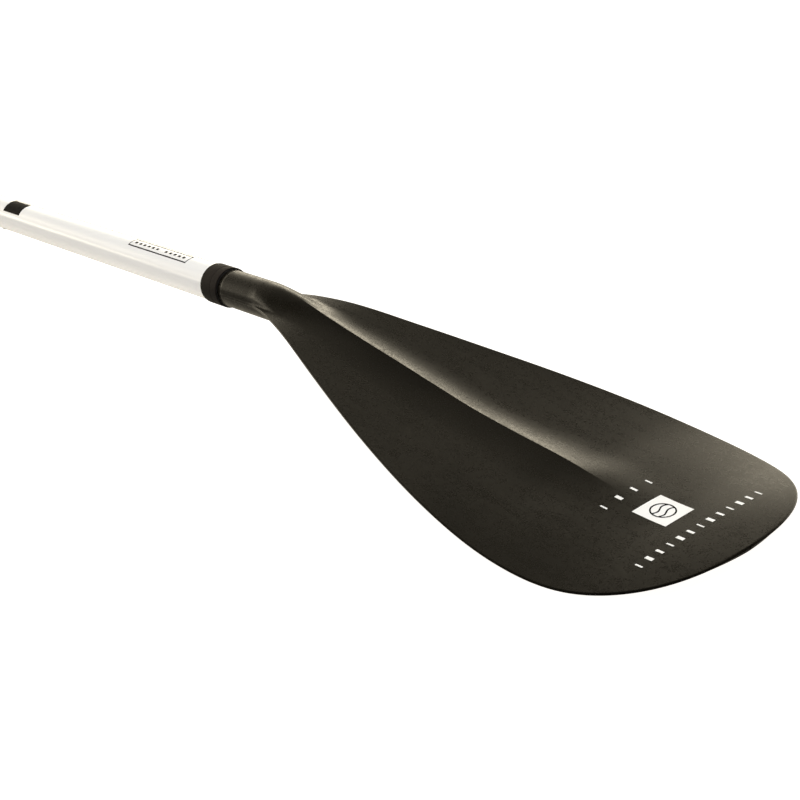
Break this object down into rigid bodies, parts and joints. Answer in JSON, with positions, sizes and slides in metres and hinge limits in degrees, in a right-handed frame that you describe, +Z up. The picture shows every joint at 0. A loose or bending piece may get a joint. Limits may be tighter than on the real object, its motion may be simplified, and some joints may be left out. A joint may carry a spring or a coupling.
{
  "type": "single blade paddle",
  "caption": "Adjustable stand-up paddle: moulded blade with a spine, white two-part shaft with snap button, cam lever clamp and sliding palm grip.",
  "frame": {"origin": "centre of the footprint on the ground the paddle lies on", "axes": "+X towards the blade tip, +Y across the blade, +Z up, the marked face up"},
  "size_m": [1.6524, 0.192, 0.0637],
  "materials": {
    "blade": "moulded, fine grain",
    "trim": "satin",
    "seal": "matt",
    "shaft_white": "white gloss paint",
    "float_foam": "closed cell foam",
    "print_black": "printed film",
    "print_white": "printed",
    "spigot_metal": "satin anodised",
    "plug": "matt",
    "button_steel": "polished",
    "spring_steel": "satin",
    "clamp_plastic": "glass filled, satin",
    "guide_plastic": "smooth",
    "clamp_steel": "satin",
    "inner_shaft": "satin anodised",
    "grip_plastic": "satin",
    "grip_soft": "soft touch"
  },
  "bodies": {
    "paddle": {"blade": "blade", "blade_marks": "print_white", "end_collar": "trim", "collar_ring": "seal", "lower_shaft": "shaft_white", "lower_float": "float_foam", "shaft_label": "print_black", "shaft_patch": "print_black", "joint_ferrule": "trim", "joint_spigot": "spigot_metal", "spigot_plug": "plug", "snap_spring": "spring_steel", "main_shaft": "shaft_white", "main_float": "float_foam", "clamp_collar": "clamp_plastic", "guide_ring": "guide_plastic", "clamp_bolt": "clamp_steel", "clamp_nut": "clamp_steel", "cam_washer": "clamp_steel", "lever_pivot": "clamp_steel"},
    "upper_section": {"upper_shaft": "inner_shaft", "upper_plug": "plug", "handle_core": "grip_plastic", "handle_grip": "grip_soft", "handle_screw": "clamp_steel"},
    "lever": {"clamp_lever": "clamp_plastic"},
    "button": {"snap_button": "button_steel"}
  },
  "joints": [
    {"name": "length_adjust", "type": "slide", "parent": "paddle", "child": "upper_section", "axis": [-0.9996, 0, -0.0269], "range_m": [0, 0.45]},
    {"name": "clamp_lever_hinge", "type": "hinge", "parent": "paddle", "child": "lever", "pos_m": [-0.73767, 0.0245, 0.03621], "axis": [-0.9996, 0, -0.0269], "range_deg": [0, 150]},
    {"name": "snap_button_press", "type": "slide", "parent": "paddle", "child": "button", "axis": [-0.0269, 0, 0.9996], "range_m": [0, 0.004], "stiffness_N_per_m": 2500, "springref_m": -0.002, "deforming": ["snap_spring"]}
  ]
}
